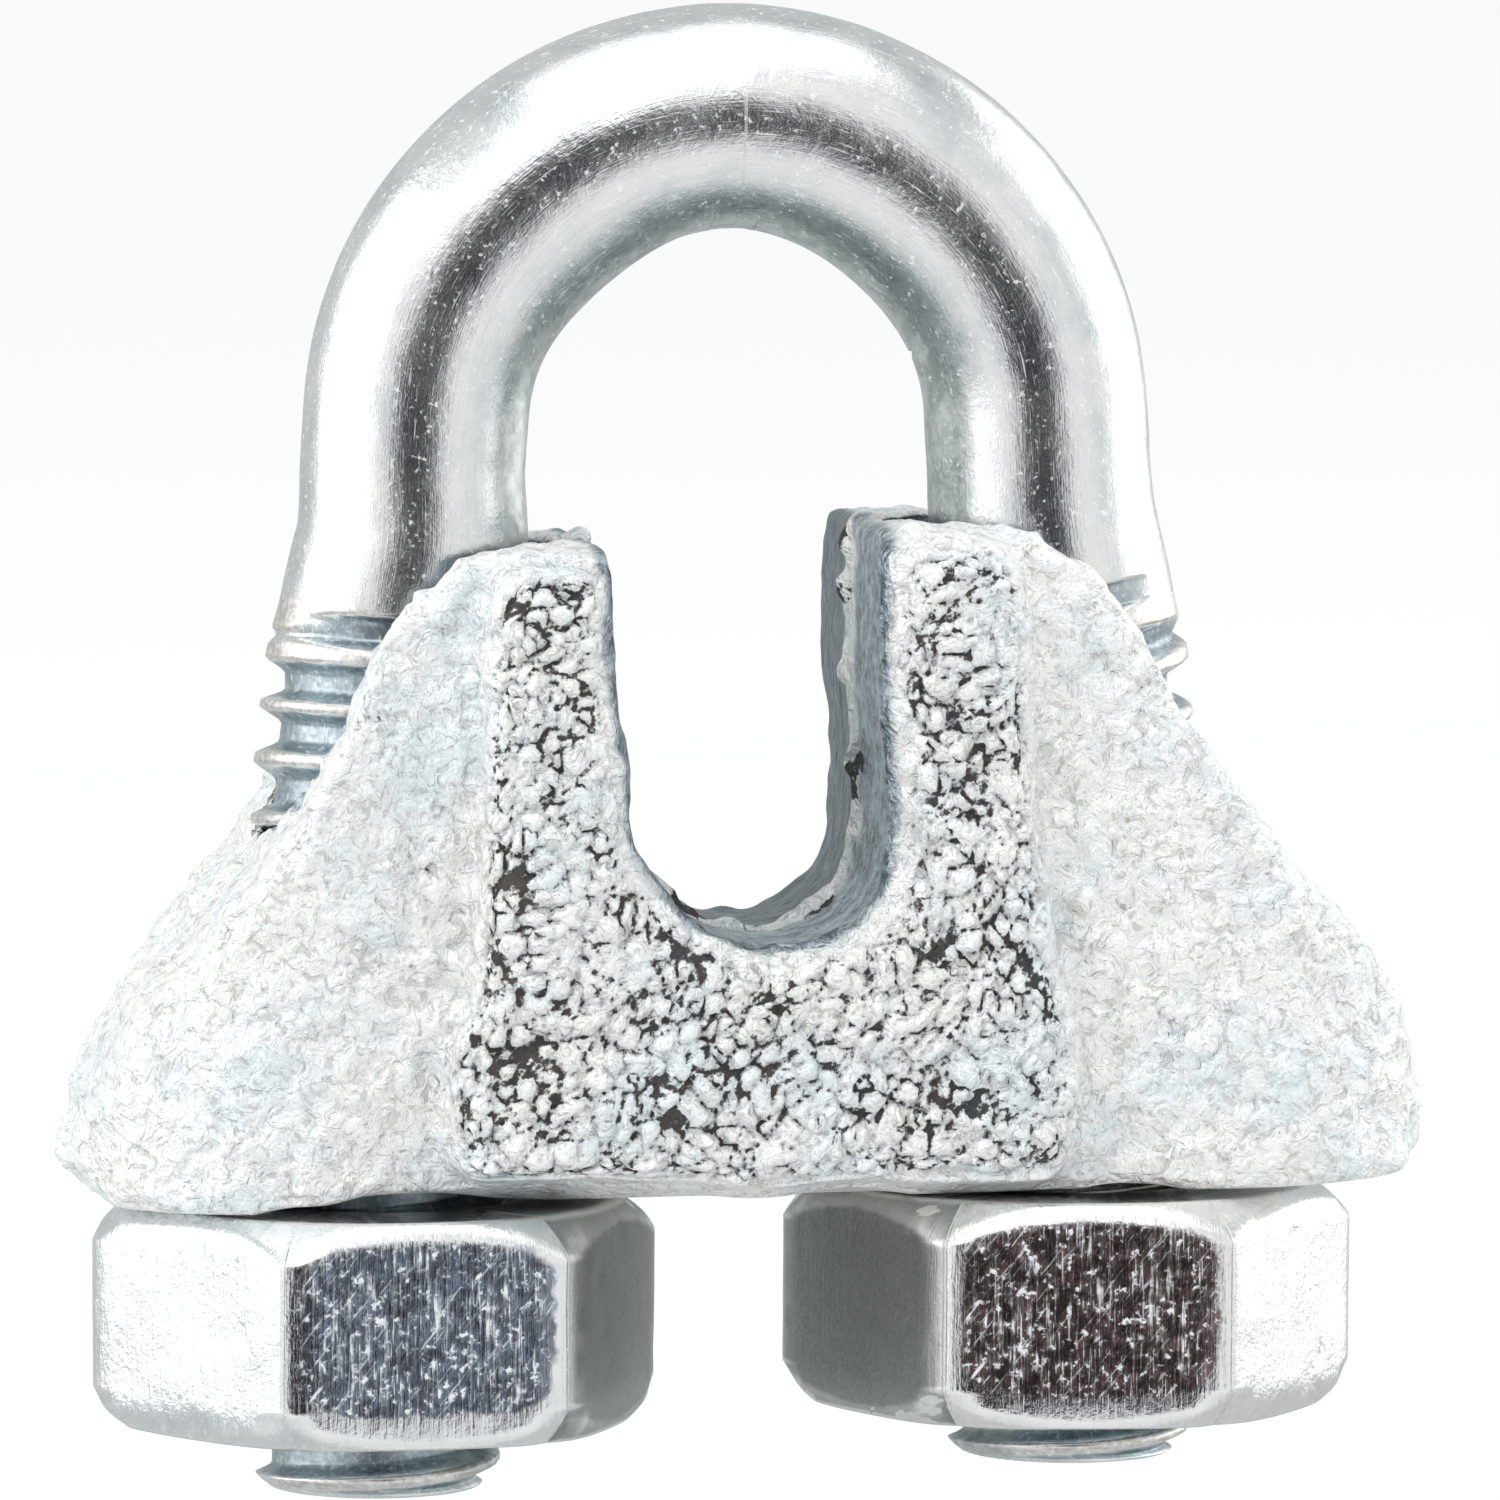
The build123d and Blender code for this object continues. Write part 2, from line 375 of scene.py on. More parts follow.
# ------------------------------------------------------------------ nuts
def build_nut(name, side, turn, seed, lift):
    """Nut on one leg, turned by degrees and lifted from its CAD height."""
    axis_x = side * LEG_X
    phi = np.arange(NUT_COLS) / NUT_COLS * 2 * math.pi
    turned = phi - math.radians(turn)
    a = turned % (math.pi / 3) - math.pi / 6        # angle from the flat's middle
    flat = np.round((turned - math.pi / 6) / (math.pi / 3)) % 6
    hexagon = smooth_min(HALF_FLATS / np.cos(a), CORNER_RADIUS, blend=0.46)
    to_corner = np.clip(1 - (HALF_FLAT_WIDTH - np.abs(HALF_FLATS * np.tan(a))), 0, 1)

    def outer_radius(h):
        edge = np.minimum(h, NUT_HEIGHT - h)
        cone = BEARING_RADIUS + (0.42 if h < NUT_HEIGHT / 2 else 0.10) + edge * 1.62
        to_end = np.clip(1 - edge / 0.95, 0, 1)
        soft = (hexagon - 0.09 * to_corner ** 2 - 0.10 * to_end ** 2
                - 0.62 * (to_corner * to_end))
        return smooth_min(soft, cone, blend=0.55)

    def bore_radius(h):
        depth = thread_depth(crest_offset(NUT_BOTTOM + lift + h, phi, side))
        # 0.07 clearance on the crest, 0.03 more in the root
        r = CREST + 0.07 + (ROOT - CREST) * depth + 0.03 * depth
        countersink = 3.62 - np.minimum(h, NUT_HEIGHT - h) * 1.15
        return smooth_max(r, countersink, blend=0.05)

    wall = np.concatenate([np.linspace(0.0, 1.2, 20),
                           np.linspace(1.3, NUT_HEIGHT - 1.3, 14),
                           np.linspace(NUT_HEIGHT - 1.2, NUT_HEIGHT, 20)])
    bore = np.arange(NUT_HEIGHT, -1e-6, -0.06)
    if bore[-1] > 0.01:
        bore = np.append(bore, 0.0)
    # rings up the wall, in over the top, down the bore and out underneath:
    # radius, height, 1 inside the bore
    rings = [(outer_radius(h), h, 0.0) for h in wall]
    rings += [(r, NUT_HEIGHT, 0.0) for r in np.linspace(5.72, 3.75, 9)]
    rings += [(bore_radius(h), h, 1.0) for h in bore]
    rings += [(r, 0.0, 0.0) for r in np.linspace(3.75, 5.72, 9)]
    points = np.zeros((len(rings), NUT_COLS, 3))
    surf = np.zeros_like(points)           # along the flat, up the flat, flat number
    inside = np.zeros((len(rings), NUT_COLS))
    for i, (r, h, in_bore) in enumerate(rings):
        points[i, :, 0] = axis_x + r * np.cos(phi)
        points[i, :, 1] = r * np.sin(phi)
        points[i, :, 2] = NUT_BOTTOM + h
        surf[i, :, 0] = r * np.sin(a) + flat * FLAT_STEP
        surf[i, :, 1] = h
        surf[i, :, 2] = flat
        inside[i] = in_bore
    obj = grid_mesh(name, points, True, surf, "inside", inside)

    # dents and waves, mostly on the upright faces
    co, normals = read_surface(obj.data)
    relief = (dents(co, size=1.1, seed=seed, depth=0.020, width=0.3, skip=0.55)
              + (0.022 * value_noise(co, size=2.2, seed=seed + 1)
                 + 0.007 * value_noise(co, size=0.6, seed=seed + 2)))
    upright = np.clip(1 - np.abs(normals[:, 2]) * 1.3, 0, 1)
    outside = step(4.0, 5.5, np.hypot(co[:, 0] - axis_x, co[:, 1]))
    co = co + normals * (relief * (0.25 + 0.75 * upright) * outside)[:, None]
    co[:, 2] = np.clip(co[:, 2], NUT_BOTTOM - 0.02, NUT_TOP) - SEAT_Z + lift
    write_points(obj.data, co)
    return obj


# ------------------------------------------------------------------ saddle
def remeshed_saddle(voxel):
    """Copy of the CAD saddle, welded and remeshed to even quads."""
    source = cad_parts["saddle"].data.copy()
    source.name = "saddle_cast"
    source.materials.clear()
    obj = bpy.data.objects.new("saddle_cast", source)
    bpy.context.scene.collection.objects.link(obj)
    bm = bmesh.new()
    bm.from_mesh(source)
    bmesh.ops.remove_doubles(bm, verts=bm.verts, dist=1e-7)
    bm.to_mesh(source)
    bm.free()
    # the remesher works at a hundred times the size
    source.transform(Matrix.Scale(100, 4))
    remesh = obj.modifiers.new("remesh", "REMESH")
    remesh.mode = "VOXEL"
    remesh.voxel_size = voxel * MM * 100
    remesh.adaptivity = 0.0
    remesh.use_smooth_shade = True
    depsgraph = bpy.context.evaluated_depsgraph_get()
    mesh = bpy.data.meshes.new_from_object(obj.evaluated_get(depsgraph))
    obj.modifiers.clear()
    obj.data = mesh
    mesh.name = "saddle_cast"
    mesh.transform(Matrix.Scale(0.01, 4))
    return obj


def make_smoother(mesh):
    """A function that averages per-vertex values with their neighbours."""
    count = len(mesh.vertices)
    edges = np.empty(len(mesh.edges) * 2, np.int32)
    mesh.edges.foreach_get("vertices", edges)
    degree = np.bincount(edges, minlength=count).astype(float)[:, None]
    start, end = edges.reshape(-1, 2).T

    def smooth(values, rounds):
        v = values.reshape(count, -1)
        for _ in range(rounds):
            total = np.zeros_like(v)
            for axis in range(v.shape[1]):
                total[:, axis] = (np.bincount(start, v[end, axis], count)
                                  + np.bincount(end, v[start, axis], count))
            v = v * 0.5 + total / degree * 0.5
        return v.reshape(values.shape)

    return smooth


def saddle_areas(co, normals, hole, smooth):
    """Masks, 0 to 1, for the parts of the casting. hole is the distance to a hole's axis."""
    x, y, z = co.T
    normal_x, normal_y, normal_z = normals.T
    across = np.abs(x)
    area = SimpleNamespace()
    area.slot = smooth(((across < 3.75) & (z > 6.2) & (np.abs(normal_y) < 0.75)).astype(float), 4)
    inward = (-(np.sign(x) * (across - 8.2) * normal_x + y * normal_y)
              / np.maximum(hole, 0.3))
    bore = (hole < 3.85) & (np.abs(normal_z) < 0.8) & (inward > 0.2)
    area.bore = smooth(bore.astype(float), 4)
    area.base = step(-0.75, -0.95, normal_z) * (z < 0.6)
    area.face = step(0.50, 0.80, np.abs(normal_y))      # looks along the rope
    area.half_width = np.interp(z, BLOCK_Z, BLOCK_HALF_WIDTH)
    area.block = step(0.45, -0.15, across - area.half_width) * step(4.9, 5.3, np.abs(y))
    area.plateau = area.face * area.block
    # distance to the rim of the block's front or back face, and its raggedness
    to_slot = np.where(z > SEAT_Z, across - 3.3, np.hypot(x, z - SEAT_Z) - 3.2)
    area.rim = np.minimum(np.minimum(area.half_width - across, to_slot),
                          np.minimum(16.6 - z, z + 0.1))
    area.rag = (0.28 * value_noise(co, size=1.1, seed=91)
                + 0.14 * value_noise(co, size=0.5, seed=92))
    return area


def skin_relief(co, area):
    """Rough cast skin: height along the normal, dark cracks that are partly painted shade and
    reflection, wide parting flash.
    """
    _, y, z = co.T
    across = np.abs(co[:, 0])
    slot, plateau = area.slot, area.plateau
    rest = 1 - plateau
    warp = np.stack([value_noise(co, size=1.1, seed=seed) for seed in (31, 32, 33)], -1)
    warped = co + 0.22 * warp

    # lumps: distance from the border between cells, and a level for each big cell
    first, second, level = cell_noise(warped, size=1.05, seed=51)
    big_gap = second - first
    first, second, _ = cell_noise(warped + 17, size=0.60, seed=52)
    small_gap = second - first
    big = step(0.0, 0.50, big_gap) - 0.6
    small = step(0.0, 0.50, small_gap) - 0.6
    level = level - 0.5
    mid = value_noise(co, size=1.4, seed=62)
    fine = value_noise(co, size=0.6, seed=63)
    finest = value_noise(warped, size=0.33, seed=64)
    height = (0.11 * value_noise(co, size=2.8, seed=61) + 0.085 * mid + 0.06 * fine
              + 0.025 * finest)
    fold = 1 - np.abs(value_noise(warped + 9, size=1.05, seed=66))
    height += rest * 0.14 * (fold - 0.6)
    height += plateau * (0.125 * big + 0.065 * small + 0.08 * level + 0.02 * finest)
    height += rest * (0.085 * big + 0.014 * small + 0.05 * level)

    # ridges running down the wings beside the block
    beside = across - area.half_width - 0.55 + 0.30 * value_noise(co, size=1.6, seed=95)
    ridge = bell(beside, 0.50) * (1 - slot) * step(1.0, 3.0, z)
    height += ridge * (0.14 + 0.16 * value_noise(co, size=0.9, seed=96)) * area.face

    # dark cracks between the lumps, more on the plateau: partly real pits, partly painted shade in
    # the cracks and painted reflection of the dark surroundings
    patch = (value_noise(warped, size=1.25, seed=74)
             + 0.5 * value_noise(co, size=0.6, seed=75))
    crack = 1.0 - np.minimum(small_gap / 0.34, big_gap / 0.26 + 0.10)
    inner_zone = step(0.25, 0.85, area.rim + 0.6 * area.rag)
    speck = crack + 0.22 * patch - 0.96 + 0.45 * plateau * inner_zone
    speck = speck * (1 - area.bore) - 0.35 * slot - 0.5 * area.base
    pit = np.clip(speck * 2.2, 0, 1)

    # parting line of the mould, near y = 0
    line_y = 0.16 * value_noise(co * np.array([1, 0, 1]), size=2.0, seed=81)
    flash = bell(y - line_y, 0.30) * (1 - area.face) * (1 - area.bore) * (1 - area.base)
    rough_flash = np.clip(value_noise(co, size=0.55, seed=82) + 0.5, 0, 1.3)
    flash_width = 0.55 + 0.25 * value_noise(co, size=0.9, seed=85)
    flash_break = (0.9 + 1.0 * value_noise(co, size=0.6, seed=83)
                   + 0.5 * value_noise(co, size=0.35, seed=84))
    wide_flash = (bell(y - 1.6 * line_y, flash_width) * (1 - area.face)
                  * np.clip(flash_break, 0, 1.6))
    near_flash = bell(y - line_y, 1.5) * np.clip(slot * 1.5, 0, 1)
    height = height + near_flash * (0.17 * fine + 0.09 * finest)
    speck = speck + near_flash * 1.7 * np.clip(
        value_noise(co, size=0.7, seed=86) + 0.10, 0, 1)

    # the slot, bores and underside keep less of the skin; 0.05 insets it all
    calm = (1 - 0.80 * slot) * (1 - area.bore) * (1 - area.base)
    relief = (height * calm - 0.15 * pit * calm + flash * (0.05 + 0.22 * rough_flash)
              - 0.05 * calm - 0.28 * area.bore)
    # ragged lips where the slot meets the faces
    lip = bell(np.abs(y) - 5.1, 0.45) * np.clip(slot * 1.6, 0, 1)
    relief += lip * (0.10 * fine + 0.12 * mid)
    return relief, speck, wide_flash


def skew_saddle(co, before, slot):
    """Move the casting off true, in place; before holds its points without the skin."""
    x, y, z = before.T
    across = np.abs(x)
    middle = 1 - step(4.5, 6.5, across)
    move_x, move_z = co[:, 0], co[:, 2]
    # slot off centre, ends drawn out
    move_x += (-0.15 * (1 - step(6.5, 9.0, across)) + 0.20 * step(9.0, 13.0, across)
               + np.sign(x) * 0.30 * step(11.0, 16.5, across))
    move_x += 0.22 * middle * step(10.5, 6.4, z) * step(3.0, 5.5, z)
    # the block's sides between its foot and its top
    slope = step(5.8, 7.6, across) * step(3.2, 5.6, z) * (1 - step(12.0, 13.6, z))
    move_x += np.where(x < 0, 0.34, -0.24) * slope
    # the slot leans: its top lies left and its foot right of the middle
    move_x -= 0.22 * middle * step(10.5, 13.0, z)
    move_x += 0.24 * middle * (1 - step(7.0, 9.2, z)) * step(3.0, 5.5, z)
    # lower seat, lower left wing, lower left top of the block
    move_z -= 0.12 * np.clip(slot * 1.3, 0, 1) * step(9.6, 7.0, z)
    move_z -= 0.34 * step(9.5, 11.8, -x) * step(3.0, 6.5, z)
    move_z -= 0.40 * step(2.5, 4.0, -x) * (1 - step(8.0, 9.5, -x)) * step(12.5, 16.0, z)
    # rounded outer shoulders at the block's top
    move_z -= (0.35 * step(5.6, 7.2, across) * (1 - step(7.4, 9.5, across))
               * step(13.5, 16.2, z) * step(3.0, 4.5, np.abs(y)))


def build_saddle(voxel):
    obj = remeshed_saddle(voxel)
    mesh = obj.data
    smooth = make_smoother(mesh)
    co = read_vectors(mesh.vertices, "co") / MM + np.array([0, 0, SEAT_Z])

    # soften the casting, but keep the leg holes nearer to true
    hole = np.hypot(np.maximum(np.abs(np.abs(co[:, 0]) - 8.0) - 0.73, 0), co[:, 1])
    keep = np.zeros(len(co))
    keep[(hole < 3.9) & (co[:, 2] > 0.05)] = 0.55
    keep = smooth(keep, 6)[:, None]
    co = co * keep + smooth(co, int(46 * (0.11 / voxel) ** 2)) * (1 - keep)
    write_points(mesh, co)
    normals = read_vectors(mesh.vertex_normals, "vector")
    area = saddle_areas(co, normals, hole, smooth)

    # ragged bevel round the block's front and back faces
    bevel = smooth((1 - step(-0.1, 1.25, area.rim + area.rag)) ** 1.4 * area.block, 8)
    co[:, 1] -= np.sign(co[:, 1]) * 0.52 * bevel * (1 - area.base)

    relief, speck, wide_flash = skin_relief(co, area)
    before = co
    co = co + normals * relief[:, None]
    # the underside stays on its plane; its front and back edges are wavy
    edge = (1 - step(0.3, 1.2, co[:, 2])) * step(2.9, 4.3, np.abs(co[:, 1]))
    wave = value_noise(co * np.array([1, 0.2, 0]), size=2.3, seed=97)
    co[:, 2] += edge * 0.38 * np.clip(wave + 0.25, 0, 1)
    co[:, 2] = np.maximum(co[:, 2], 0.0)
    skew_saddle(co, before, area.slot)

    # cocked on its two nuts, about the rope seat's centre
    tilt = math.radians(SADDLE_TILT)
    x, z = co[:, 0].copy(), co[:, 2] - SEAT_Z
    co[:, 0] = x * math.cos(tilt) - z * math.sin(tilt) + SADDLE_PLAY
    co[:, 2] = x * math.sin(tilt) + z * math.cos(tilt)
    write_points(mesh, co)
    add_float(mesh, "speck", speck)
    add_float(mesh, "plateau", area.plateau)
    add_float(mesh, "slot", np.clip(area.slot, 0, 1))
    add_float(mesh, "bore", area.bore)
    add_float(mesh, "cavity", smooth(relief, 6) - relief)
    add_float(mesh, "flash", wide_flash)
    mesh.polygons.foreach_set("use_smooth", [True] * len(mesh.polygons))
    mesh.update()
    return obj


# ------------------------------------------------------------------ node graphs
class Graph:
    """Short calls for a node tree. Inputs take a socket, a number or a tuple."""

    def __init__(self, owner):
        owner.use_nodes = True
        self.tree = owner.node_tree
        self.tree.nodes.clear()

    def node(self, kind, inputs=(), **settings):
        node = self.tree.nodes.new(kind)
        for key, value in settings.items():
            setattr(node, key, value)
        for key, value in dict(inputs).items():
            socket = node.inputs[key]
            if isinstance(value, bpy.types.NodeSocket):
                self.tree.links.new(value, socket)
                continue
            if isinstance(value, tuple) and len(value) < len(socket.default_value):
                value += (1,)    # opaque colour
            socket.default_value = value
        return node

    def calc(self, operation, *values, clamp=False):
        return self.node("ShaderNodeMath", enumerate(values), operation=operation,
                         use_clamp=clamp).outputs[0]

    def mul(self, a, b, clamp=False):
        return self.calc("MULTIPLY", a, b, clamp=clamp)

    def add(self, a, b):
        return self.calc("ADD", a, b)

    def sub(self, a, b):
        return self.calc("SUBTRACT", a, b)

    def max(self, a, b):
        return self.calc("MAXIMUM", a, b)

    def linear(self, x, gain, offset):
        return self.calc("MULTIPLY_ADD", x, gain, offset)

    def above(self, x, start, gain):
        """Mask that rises from 0 where x passes start."""
        return self.mul(self.sub(x, start), gain, clamp=True)

    def ramp(self, x, *stops):
        """Colour ramp; each stop is a position and a colour or grey."""
        node = self.node("ShaderNodeValToRGB", {0: x})
        elements = node.color_ramp.elements
        elements.remove(elements[-1])
        elements[0].position = stops[0][0]
        for i, (position, colour) in enumerate(stops):
            element = elements.new(position) if i else elements[0]
            rgb = colour if isinstance(colour, tuple) else (colour,) * 3
            element.color = (*rgb, 1)
        return node.outputs[0]

    def band(self, x, low, high, at_low=0.0, at_high=1.0):
        return self.ramp(x, (low, at_low), (high, at_high))

    def mix(self, mask, a, b):
        return self.node("ShaderNodeMix", {0: mask, 6: a, 7: b}, data_type="RGBA",
                         blend_type="MIX").outputs[2]

    def coat(self, base, colour, mask, amount):
        """Lay a colour over the base through a weakened mask."""
        return self.mix(self.mul(mask, amount), base, colour)

    def noise(self, vector, scale=1.0, detail=3.0, rough=0.6, distort=0.0):
        inputs = {"Scale": scale, "Detail": detail, "Roughness": rough,
                  "Distortion": distort, "Vector": vector}
        return self.node("ShaderNodeTexNoise", inputs).outputs[0]

    def mapping(self, vector, **inputs):
        return self.node("ShaderNodeMapping", {"Vector": vector, **inputs}).outputs[0]

    def axes(self, vector):
        return self.node("ShaderNodeSeparateXYZ", {0: vector}).outputs

    def attr(self, name, output="Fac"):
        return self.node("ShaderNodeAttribute", attribute_name=name).outputs[output]


class Metal(Graph):
    """Principled material; place is the object's own space in millimetres."""

    def __init__(self, name):
        self.material = bpy.data.materials.new(name)
        super().__init__(self.material)
        self.place = self.mapping(self.node("ShaderNodeTexCoord").outputs["Object"],
                                  Scale=(1000, 1000, 1000))

    def finish(self, colour, metallic, rough, rougher, bumps):
        """rougher: mask, added roughness. bumps: height, strength, distance in metres."""
        for mask, amount in rougher:
            rough = self.add(rough, self.mul(mask, amount))
        inputs = {}
        for height, strength, distance in bumps:
            inputs.update(Height=height, Strength=strength, Distance=distance)
            inputs["Normal"] = self.node("ShaderNodeBump", inputs).outputs[0]
        shader = self.node("ShaderNodeBsdfPrincipled", {
            "Base Color": colour, "Metallic": metallic, "Roughness": rough,
            "Normal": inputs["Normal"]})
        self.node("ShaderNodeOutputMaterial", {0: shader.outputs[0]})
        return self.material


def shade(colour, gain, lift=0.0):
    return tuple(lift + gain * c for c in colour)


# ------------------------------------------------------------------ materials
def rod_material():
    m = Metal("zinc_rod")
    surf = m.attr("surf", "Vector")
    groove = m.attr("groove")
    streak = m.noise(m.mapping(surf, Scale=(30, 30, 6)), detail=4)
    thin_streak = m.noise(m.mapping(surf, Scale=(70, 70, 9)))
    cloud = m.noise(m.place, scale=0.55, detail=4)
    speck = m.noise(m.place, scale=5.5, rough=0.65)
    grain = m.noise(m.place, scale=14.0)
    base = m.ramp(cloud, (0.34, (0.74, 0.765, 0.775)), (0.5, (0.87, 0.875, 0.87)),
                  (0.64, (0.94, 0.935, 0.915)))
    base = m.coat(base, (0.62, 0.65, 0.66), m.band(streak, low=0.52, high=0.74), amount=0.35)
    base = m.coat(base, (0.45, 0.45, 0.44), m.band(speck, low=0.66, high=0.76), amount=0.45)
    # painted shade: thread roots are coloured a darker blue-grey, crests are rubbed bright
    root = m.max(groove, 0.0)
    painted_shade_tint = m.ramp(speck, (0.40, (0.24, 0.31, 0.35)), (0.62, (0.44, 0.52, 0.56)))
    base = m.coat(base, painted_shade_tint, m.mul(root, 2.2, clamp=True), amount=0.86)
    crest = m.mul(groove, -1.4, clamp=True)
    rubbed = m.ramp(speck, (0.42, (0.60, 0.545, 0.50)), (0.55, (0.86, 0.83, 0.79)))
    base = m.coat(base, rubbed, crest, amount=0.75)
    # painted reflection and shade: the inner side of the rod is coloured a mottled, darker
    # grey-green
    inner = m.above(m.mul(m.axes(surf)[0], -1.0), start=0.50, gain=3.2)
    mottle = m.noise(m.place, scale=1.5, detail=5, rough=0.7, distort=0.5)
    painted_shade_tint = m.ramp(mottle, (0.40, (0.33, 0.38, 0.37)), (0.60, (0.66, 0.70, 0.69)))
    base = m.coat(base, painted_shade_tint, inner, amount=0.72)
    # dull flakes and worn streaks
    flakes = m.above(speck, start=0.60, gain=11.0)
    wear = m.above(thin_streak, start=0.62, gain=10.0)
    dull = m.mul(m.max(flakes, wear), 0.68)
    base = m.coat(base, (0.86, 0.87, 0.87), dull, amount=1.2)
    return m.finish(
        base, metallic=m.sub(0.97, dull), rough=m.linear(cloud, gain=0.20, offset=0.08),
        rougher=[(m.band(grain, low=0.4, high=0.7), 0.07), (root, 0.20), (crest, 0.16),
                 (inner, 0.14)],
        bumps=[(thin_streak, 0.35, 0.000014), (speck, 0.42, 0.000024), (grain, 0.4, 0.000008)])


def casting_material():
    m = Metal("zinc_casting")
    slot = m.attr("slot")
    wrinkles = dict(scale=2.3, rough=0.55, distort=1.1)
    cloud = m.noise(m.place, scale=0.38, detail=4)
    mid = m.noise(m.place, scale=1.6, detail=4)
    fine = m.noise(m.place, scale=4.2, detail=4, rough=0.65)
    grain = m.noise(m.place, scale=11.0)
    base = m.ramp(cloud, (0.36, (0.88, 0.925, 0.945)), (0.50, (0.975, 0.970, 0.955)),
                  (0.64, (0.99, 0.975, 0.945)))
    # thin blue-grey and grey film, then painted shade: brown in the low creases of the wrinkle
    # bump and blue-grey in the skin's hollows
    base = m.coat(base, (0.68, 0.75, 0.78), m.band(fine, low=0.50, high=0.64), amount=0.32)
    base = m.coat(base, (0.72, 0.73, 0.72), m.band(mid, low=0.53, high=0.62), amount=0.25)
    crease = m.band(m.noise(m.place, **wrinkles), low=0.37, high=0.43, at_low=1.0, at_high=0.0)
    base = m.coat(base, (0.50, 0.475, 0.45), crease, amount=0.50)
    hollow = m.mul(m.max(m.attr("cavity"), 0.0), 14.0, clamp=True)
    base = m.coat(base, (0.50, 0.55, 0.58), hollow, amount=0.40)
    # slot and holes: bare blue-grey metal deepened by painted shade, darker to the rear and
    # painted lighter in front
    flash = m.mul(m.attr("flash"), 2.6, clamp=True)
    wall = m.mul(slot, m.sub(1.0, flash), clamp=True)
    bare_metal_and_shade = m.ramp(mid, (0.40, (0.13, 0.165, 0.20)), (0.5, (0.24, 0.30, 0.345)),
                  (0.62, (0.50, 0.59, 0.65)))
    ragged_y = m.add(m.axes(m.place)[1], m.linear(mid, gain=2.4, offset=-1.4))
    painted_rear_shade = m.mul(ragged_y, 0.9, clamp=True)
    bare_metal_and_shade = m.coat(bare_metal_and_shade, (0.085, 0.115, 0.135), painted_rear_shade, amount=0.75)
    painted_front_light = m.mul(m.band(fine, low=0.48, high=0.58), m.sub(1.0, painted_rear_shade))
    bare_metal_and_shade = m.coat(bare_metal_and_shade, (0.66, 0.73, 0.77), painted_front_light, amount=0.55)
    base = m.coat(base, bare_metal_and_shade, m.max(wall, m.attr("bore")), amount=0.92)
    # dark cracks and pits, partly painted shade and painted reflection, their edges broken up
    # finer than the mesh
    broken = m.add(m.attr("speck"), m.linear(fine, gain=1.10, offset=-0.55))
    broken = m.add(broken, m.linear(grain, gain=0.36, offset=-0.18))
    dark_pits_and_reflection = m.above(broken, start=0.29, gain=9.0)
    tint = m.ramp(mid, (0.40, (0.020, 0.021, 0.026)), (0.52, (0.035, 0.026, 0.024)),
                  (0.64, (0.060, 0.036, 0.026)))
    base = m.coat(base, tint, dark_pits_and_reflection, amount=0.96)
    rust = m.above(m.noise(m.place, scale=1.9, rough=0.7), start=0.70, gain=18.0)
    base = m.coat(base, (0.36, 0.21, 0.13), rust, amount=0.55)
    metal = m.linear(wall, gain=0.50, offset=0.34)
    return m.finish(
        base, metallic=m.mul(metal, m.sub(1.0, m.mul(dark_pits_and_reflection, 0.8))),
        rough=m.linear(fine, gain=0.26, offset=0.20), rougher=[(dark_pits_and_reflection, 0.35)],
        bumps=[(mid, 0.7, 0.00018), (m.noise(m.place, **wrinkles), 1.0, 0.00026),
               (fine, 0.9, 0.00009), (grain, 0.7, 0.00003), (m.mul(dark_pits_and_reflection, -1.0), 0.8, 0.00008)])


